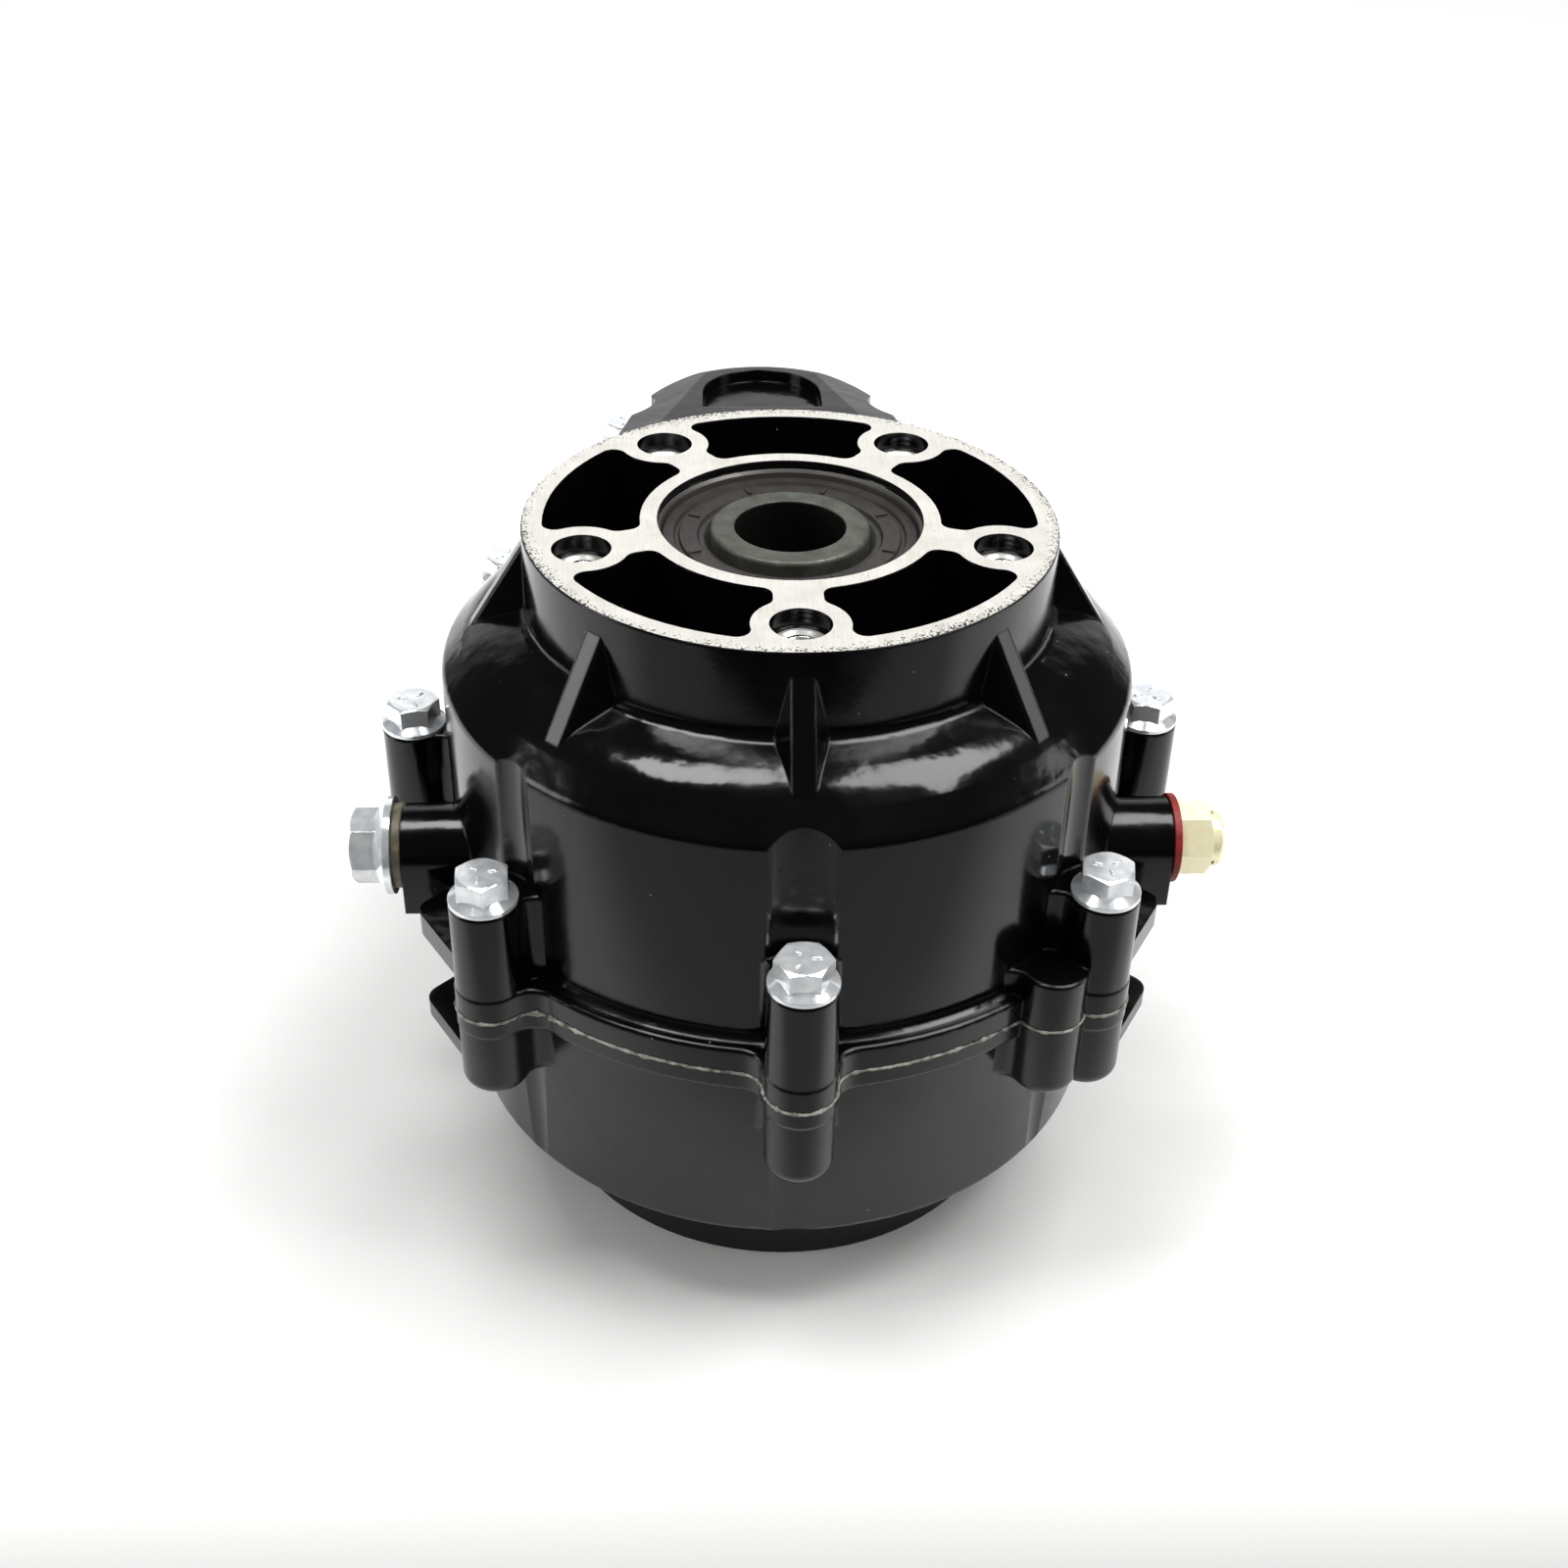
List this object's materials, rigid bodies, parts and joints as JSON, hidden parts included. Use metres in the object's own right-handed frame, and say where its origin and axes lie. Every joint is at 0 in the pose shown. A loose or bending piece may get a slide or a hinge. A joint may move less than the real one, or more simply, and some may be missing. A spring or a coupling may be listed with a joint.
{
  "type": "axle reduction gearbox",
  "caption": "Black cast two-stage spur gearbox with a bevel differential, round five-hole axle flanges, case bolts, drain plug and breather.",
  "frame": {"origin": "centre of the lower axle flange, on its face, where the axle axis crosses it", "axes": "+Z along the axle axis towards the upper flange, +Y towards the motor end, +X to the breather side"},
  "size_m": [0.2369, 0.3636, 0.2],
  "materials": {
    "black_casting": "gloss black enamel on a casting",
    "charcoal_casting": "black enamel on a casting",
    "gasket_compound": "matt",
    "zinc_steel": "bright zinc plate",
    "yellow_zinc_steel": "yellow zinc plate",
    "ground_steel": "ground",
    "gear_steel": "cut and hardened",
    "phosphated_steel": "black phosphate",
    "bronze": "plain",
    "seal_rubber": "matt",
    "sealing_washer": "matt",
    "red_fibre": "matt"
  },
  "bodies": {
    "housing": {"upper_housing": "black_casting", "lower_housing": "charcoal_casting", "split_gasket": "gasket_compound", "housing_bolts": "zinc_steel", "housing_dowels": "ground_steel", "drain_plug": "zinc_steel", "drain_plug_washer": "sealing_washer", "breather_body": "yellow_zinc_steel", "breather_cap": "yellow_zinc_steel", "breather_washer": "red_fibre", "upper_axle_seal": "seal_rubber", "lower_axle_seal": "seal_rubber", "input_seal": "seal_rubber", "upper_main_bearing_outer_race": "ground_steel", "lower_main_bearing_outer_race": "ground_steel", "upper_shaft_bearing_outer_race": "ground_steel", "lower_shaft_bearing_outer_race": "ground_steel", "upper_input_bearing_outer_race": "ground_steel", "lower_input_bearing_outer_race": "ground_steel"},
    "carrier": {"differential_case_upper": "phosphated_steel", "differential_case_lower": "phosphated_steel", "ring_gear": "gear_steel", "ring_gear_bolts": "phosphated_steel", "planet_pin": "ground_steel", "planet_pin_lock": "ground_steel", "planet_washers": "bronze", "upper_side_washer": "bronze", "lower_side_washer": "bronze", "upper_main_bearing_inner_race": "ground_steel", "lower_main_bearing_inner_race": "ground_steel"},
    "upper_balls": {"upper_main_bearing_balls": "ground_steel"},
    "lower_balls": {"lower_main_bearing_balls": "ground_steel"},
    "upper_side": {"upper_side_gear": "gear_steel"},
    "lower_side": {"lower_side_gear": "gear_steel"},
    "planet_front": {"planet_gear_front": "gear_steel"},
    "planet_rear": {"planet_gear_rear": "gear_steel"},
    "intermediate": {"intermediate_shaft": "gear_steel", "intermediate_gear": "gear_steel", "intermediate_gear_key": "ground_steel", "intermediate_circlip": "phosphated_steel", "upper_shaft_bearing_inner_race": "ground_steel", "lower_shaft_bearing_inner_race": "ground_steel"},
    "input": {"input_gear": "gear_steel", "upper_input_bearing_inner_race": "ground_steel", "lower_input_bearing_inner_race": "ground_steel"}
  },
  "joints": [
    {"name": "carrier_spin", "type": "hinge", "parent": "housing", "child": "carrier", "pos_m": [0, 0, 0.092], "axis": [0, 0, 1], "continuous": true},
    {"name": "upper_balls_roll", "type": "hinge", "parent": "housing", "child": "upper_balls", "pos_m": [0, 0, 0.164], "axis": [0, 0, 1], "continuous": true},
    {"name": "lower_balls_roll", "type": "hinge", "parent": "housing", "child": "lower_balls", "pos_m": [0, 0, 0.036], "axis": [0, 0, 1], "continuous": true},
    {"name": "upper_side_spin", "type": "hinge", "parent": "carrier", "child": "upper_side", "pos_m": [0, 0, 0.092], "axis": [0, 0, 1], "continuous": true},
    {"name": "lower_side_spin", "type": "hinge", "parent": "carrier", "child": "lower_side", "pos_m": [0, 0, 0.092], "axis": [0, 0, 1], "continuous": true},
    {"name": "planet_rear_spin", "type": "hinge", "parent": "carrier", "child": "planet_rear", "pos_m": [0, 0.02, 0.092], "axis": [0, 1, 0], "continuous": true},
    {"name": "planet_front_spin", "type": "hinge", "parent": "carrier", "child": "planet_front", "pos_m": [0, -0.02, 0.092], "axis": [0, 1, 0], "continuous": true},
    {"name": "intermediate_spin", "type": "hinge", "parent": "housing", "child": "intermediate", "pos_m": [0, 0.1, 0.1], "axis": [0, 0, 1], "continuous": true},
    {"name": "input_spin", "type": "hinge", "parent": "housing", "child": "input", "pos_m": [0, 0.19, 0.1], "axis": [0, 0, 1], "continuous": true}
  ],
  "couplings": [
    {"joint": "upper_balls_roll", "follows": "carrier_spin", "ratio": 0.425},
    {"joint": "lower_balls_roll", "follows": "carrier_spin", "ratio": 0.425},
    {"joint": "intermediate_spin", "follows": "carrier_spin", "ratio": -4},
    {"joint": "input_spin", "follows": "carrier_spin", "ratio": 6.5882},
    {"joint": "lower_side_spin", "follows": "upper_side_spin", "ratio": -1},
    {"joint": "planet_rear_spin", "follows": "upper_side_spin", "ratio": -1.6},
    {"joint": "planet_front_spin", "follows": "upper_side_spin", "ratio": 1.6}
  ]
}
